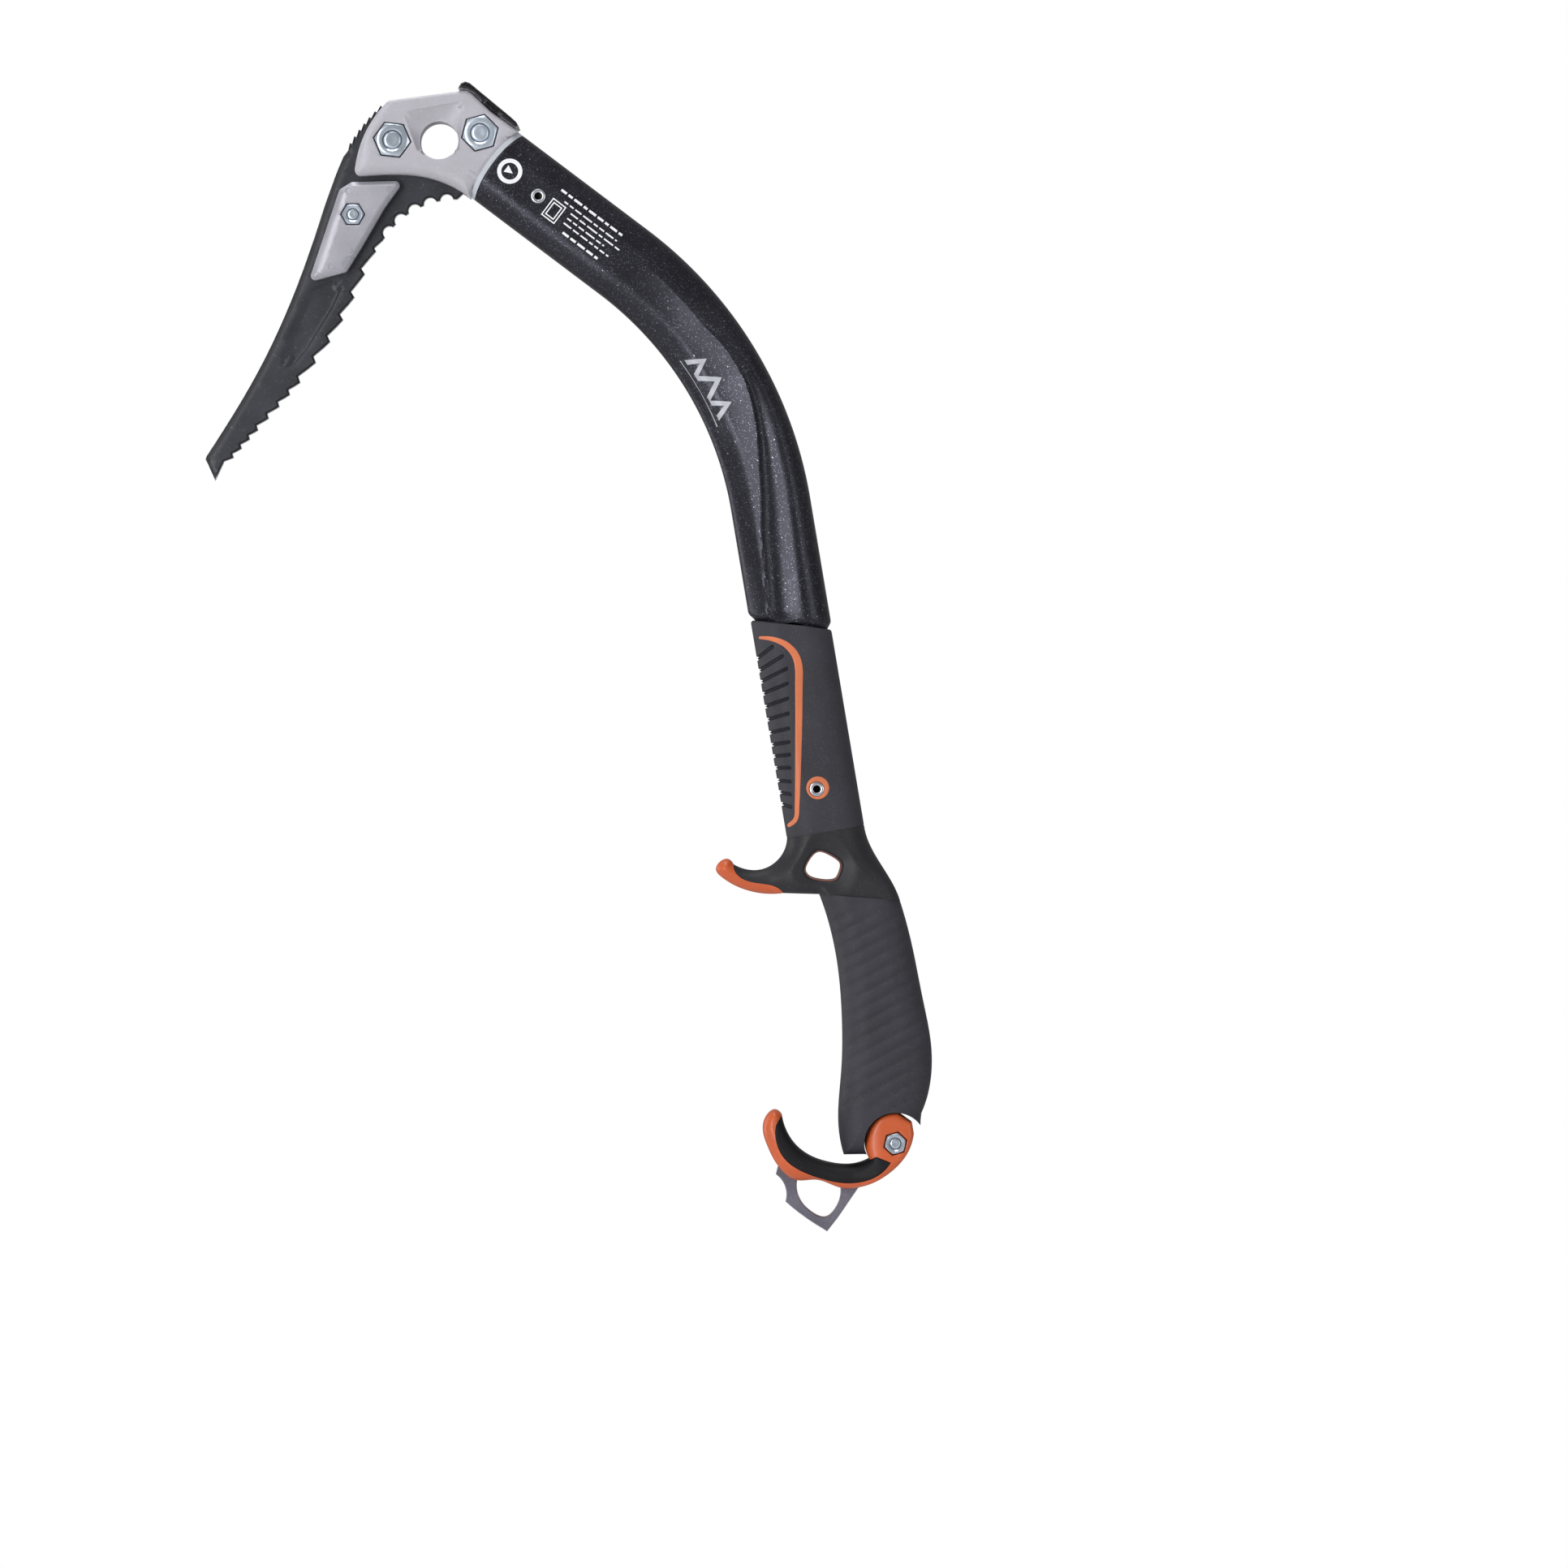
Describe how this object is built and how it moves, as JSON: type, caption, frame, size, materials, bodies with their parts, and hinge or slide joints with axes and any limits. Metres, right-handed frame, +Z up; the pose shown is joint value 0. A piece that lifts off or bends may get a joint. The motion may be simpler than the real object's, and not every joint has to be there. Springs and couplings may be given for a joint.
{
  "type": "ice axe",
  "caption": "Technical ice axe: hooked toothed pick bolted in a forged head, bent tube shaft, ribbed rubber grips, finger rest and a pivoting griprest with a spike.",
  "frame": {"origin": "centre of the carabiner hole in the head, midway between the cheeks", "axes": "+Z up from the spike to the head, +X back from the pick to the shaft, +Y across the tool from the nut side to the bolt-head side"},
  "size_m": [0.3006, 0.028, 0.475],
  "materials": {
    "head_alloy": "bead-blasted matte",
    "collar_plastic": "satin",
    "pick_steel": "dark phosphated",
    "weight_steel": "cast satin",
    "zinc_steel": "bright zinc plated",
    "hammer_steel": "black, worn at the edge",
    "shaft_paint": "black paint with metallic flake",
    "rivet_steel": "bright",
    "core_plastic": "moulded",
    "grip_rubber": "matte",
    "inlay_orange": "satin",
    "trigger_rubber": "matte",
    "griprest_orange": "semi-gloss moulded",
    "pad_rubber": "smooth matte",
    "spike_steel": "tumbled",
    "bush_bronze": "plain"
  },
  "bodies": {
    "axe": {"head": "head_alloy", "pick": "pick_steel", "front_pick_bolt": "zinc_steel", "front_pick_nut": "zinc_steel", "rear_pick_bolt": "zinc_steel", "rear_pick_nut": "zinc_steel", "hammer": "hammer_steel", "pick_weight_left": "weight_steel", "pick_weight_right": "weight_steel", "weight_screw": "zinc_steel", "weight_nut": "zinc_steel", "shaft_collar": "collar_plastic", "shaft_tube": "shaft_paint", "head_rivets": "rivet_steel", "upper_grip": "grip_rubber", "grip_inlay_left": "inlay_orange", "grip_inlay_right": "inlay_orange", "rivet_ring_left": "inlay_orange", "rivet_ring_right": "inlay_orange", "handle_rivets": "rivet_steel", "handle_core": "core_plastic", "pivot_bushes": "bush_bronze", "trigger_cover": "trigger_rubber", "trigger_tip": "griprest_orange", "lower_grip": "grip_rubber"},
    "griprest": {"griprest_shell": "griprest_orange", "griprest_pad": "pad_rubber", "spike": "spike_steel", "griprest_bolt": "zinc_steel", "griprest_nut": "zinc_steel"}
  },
  "joints": [
    {"name": "griprest_pivot", "type": "hinge", "parent": "axe", "child": "griprest", "pos_m": [0.1884, 0, -0.4141], "axis": [0, 1, 0], "range_deg": [-5, 5]}
  ]
}
